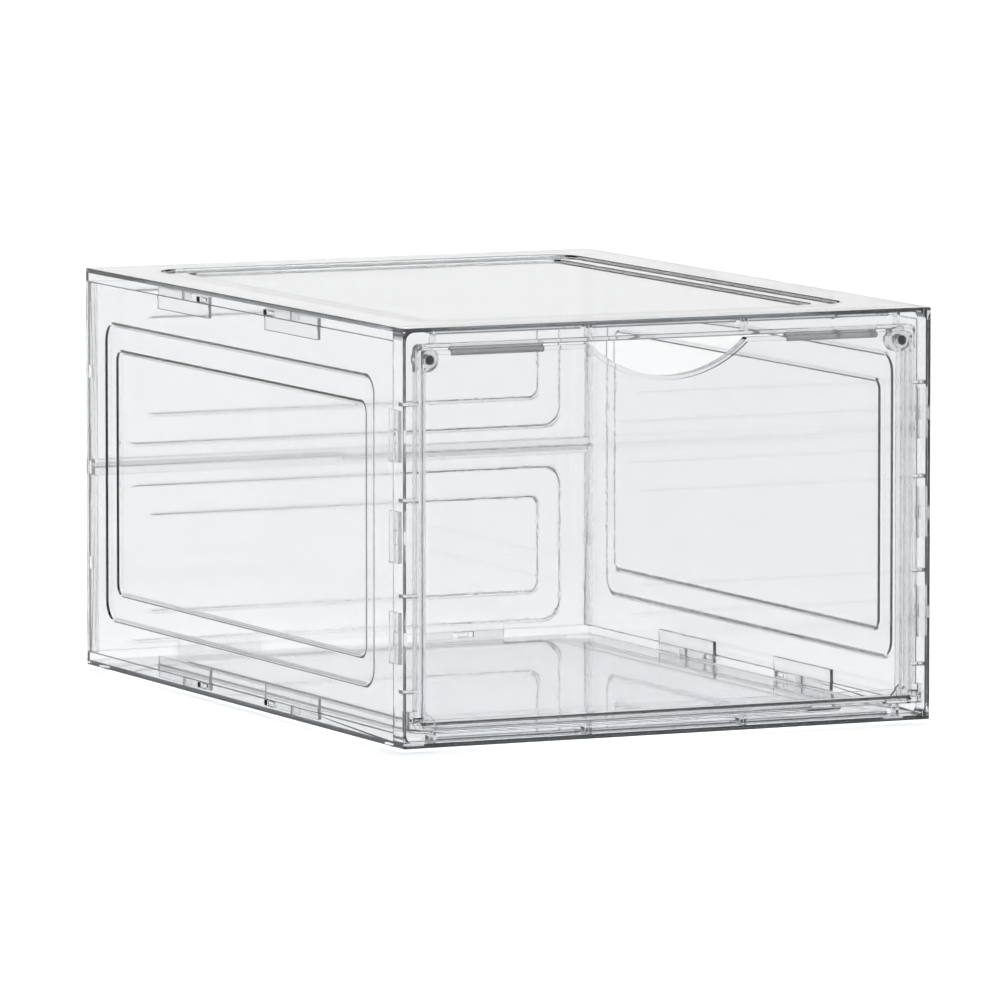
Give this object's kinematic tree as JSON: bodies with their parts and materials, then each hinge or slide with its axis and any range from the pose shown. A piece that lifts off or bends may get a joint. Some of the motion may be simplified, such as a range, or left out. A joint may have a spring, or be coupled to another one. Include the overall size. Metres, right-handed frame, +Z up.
{
  "type": "shoe box",
  "caption": "Clear plastic drop-front shoe box with a hinged magnetic door, a finger scoop and stepped panels, made to be stacked.",
  "frame": {"origin": "middle of the footprint, on the surface that the box stands on", "axes": "+X to the right seen from the front, +Y to the back, +Z up; the door is on the -Y side"},
  "size_m": [0.25, 0.34, 0.18],
  "materials": {
    "clear_plastic": "clear colourless injection-moulded plastic, polished, with slightly grey edges",
    "magnet_metal": "nickel-plated disc magnet, dark behind the plastic"
  },
  "bodies": {
    "box": {"front_frame": "clear_plastic", "right_side_panel": "clear_plastic", "left_side_panel": "clear_plastic", "lower_back_panel": "clear_plastic", "upper_back_panel": "clear_plastic", "roof_plate": "clear_plastic", "floor_plate": "clear_plastic", "left_frame_magnet": "magnet_metal", "right_frame_magnet": "magnet_metal"},
    "door": {"drop_door": "clear_plastic", "left_door_magnet": "magnet_metal", "right_door_magnet": "magnet_metal"}
  },
  "joints": [
    {"name": "door_hinge", "type": "hinge", "parent": "box", "child": "door", "pos_m": [0, -0.16775, 0.01285], "axis": [1, 0, 0], "range_deg": [0, 90]}
  ]
}
